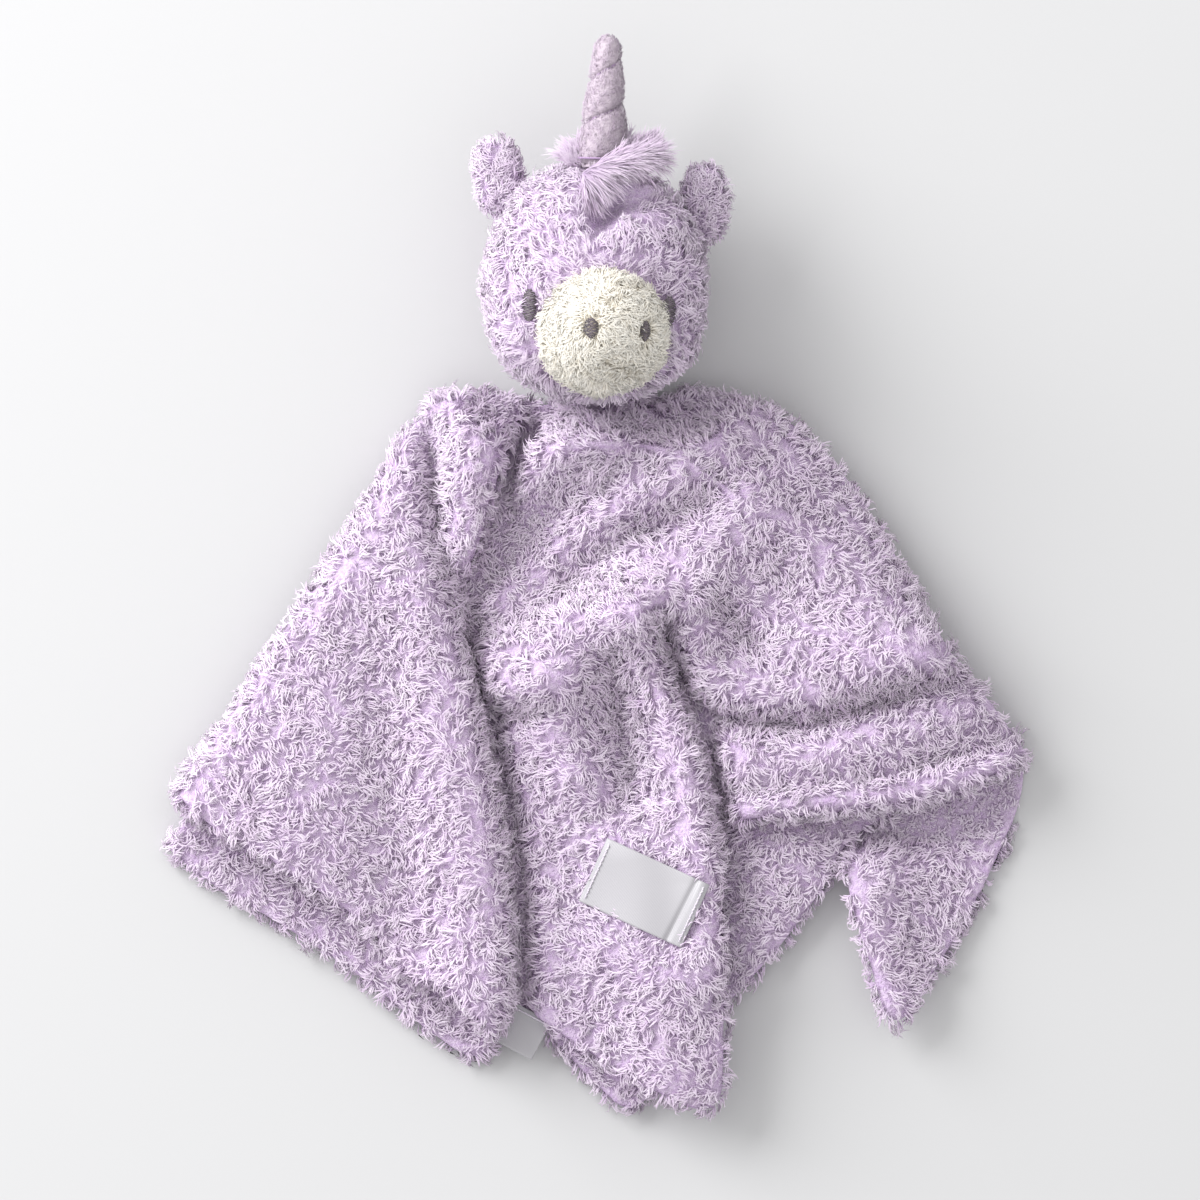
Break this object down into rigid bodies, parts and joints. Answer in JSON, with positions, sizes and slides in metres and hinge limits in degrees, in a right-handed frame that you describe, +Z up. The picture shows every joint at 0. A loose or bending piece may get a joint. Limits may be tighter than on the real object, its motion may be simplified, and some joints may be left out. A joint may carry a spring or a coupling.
{
  "type": "comfort blanket lovey",
  "caption": "Comfort blanket with a stuffed unicorn head: curly plush square gathered under a head with spiral horn, ears, forelock, pale muzzle and embroidered face.",
  "frame": {"origin": "middle of the footprint on the surface that the toy lies on, at the underside of the blanket", "axes": "+Z up from the surface, +Y from the blanket's hem to the tip of the horn, +X to the toy's left hand side as it lies on its back, right in a view from above"},
  "size_m": [0.3024, 0.3738, 0.0834],
  "materials": {
    "curly_plush": "matte",
    "cream_plush": "matte",
    "short_plush": "matte",
    "silky_fur": "silky",
    "dark_thread": "satin",
    "lilac_thread": "satin",
    "white_thread": "satin",
    "white_satin": "satin",
    "fibre_filling": "matte"
  },
  "bodies": {
    "blanket": {"blanket": "curly_plush", "woven_label": "white_satin", "label_stitches_left": "white_thread", "label_stitches_right": "white_thread"},
    "neck_seam": {"neck_seam_thread": "lilac_thread"},
    "neck_gathering": {"neck_gathering_thread": "lilac_thread"},
    "head": {"head_left_panel": "curly_plush", "head_right_panel": "curly_plush", "head_back_panel": "curly_plush", "head_filling": "fibre_filling", "muzzle_panel": "cream_plush", "muzzle_filling": "fibre_filling", "left_eye": "dark_thread", "right_eye": "dark_thread", "left_nostril": "dark_thread", "right_nostril": "dark_thread", "forelock_front": "silky_fur", "forelock_back": "silky_fur"},
    "left_ear": {"left_ear_front": "curly_plush", "left_ear_back": "curly_plush"},
    "right_ear": {"right_ear_front": "curly_plush", "right_ear_back": "curly_plush"},
    "horn_foot": {"horn_seam_thread": "lilac_thread"},
    "horn": {"horn_cover": "short_plush", "horn_filling": "fibre_filling", "horn_thread": "lilac_thread"},
    "care_label": {"care_label": "white_satin", "care_label_stitches": "white_thread"}
  },
  "joints": [
    {"name": "head_turn", "type": "hinge", "parent": "blanket", "child": "neck_seam", "pos_m": [-0.00015, 0.0631, 0.023], "axis": [0, 1, 0], "range_deg": [-25, 25]},
    {"name": "head_nod", "type": "hinge", "parent": "neck_seam", "child": "neck_gathering", "pos_m": [-0.00015, 0.0631, 0.023], "axis": [1, 0, 0], "range_deg": [0, 35]},
    {"name": "head_tilt", "type": "hinge", "parent": "neck_gathering", "child": "head", "pos_m": [-0.00015, 0.0631, 0.023], "axis": [0, 0, 1], "range_deg": [-15, 15]},
    {"name": "left_ear_fold", "type": "hinge", "parent": "head", "child": "left_ear", "pos_m": [-0.03427, 0.12634, 0.03297], "axis": [0.4984, 0.8669, 0], "range_deg": [-25, 25], "stiffness_Nm_per_rad": 0.002},
    {"name": "right_ear_fold", "type": "hinge", "parent": "head", "child": "right_ear", "pos_m": [0.03496, 0.11779, 0.03298], "axis": [0.2908, -0.9568, 0], "range_deg": [-25, 25], "stiffness_Nm_per_rad": 0.002},
    {"name": "horn_twist", "type": "hinge", "parent": "head", "child": "horn_foot", "pos_m": [0.00038, 0.14302, 0.045], "axis": [0.0523, 0.9986, 0], "range_deg": [-30, 30], "stiffness_Nm_per_rad": 0.002},
    {"name": "horn_bend", "type": "hinge", "parent": "horn_foot", "child": "horn", "pos_m": [0.00038, 0.14302, 0.045], "axis": [0.9986, -0.0523, 0], "range_deg": [-20, 20], "stiffness_Nm_per_rad": 0.005},
    {"name": "care_label_flap", "type": "hinge", "parent": "blanket", "child": "care_label", "pos_m": [-0.02307, -0.15078, 0.0083], "axis": [-0.8829, 0.4695, 0], "range_deg": [0, 60]}
  ]
}
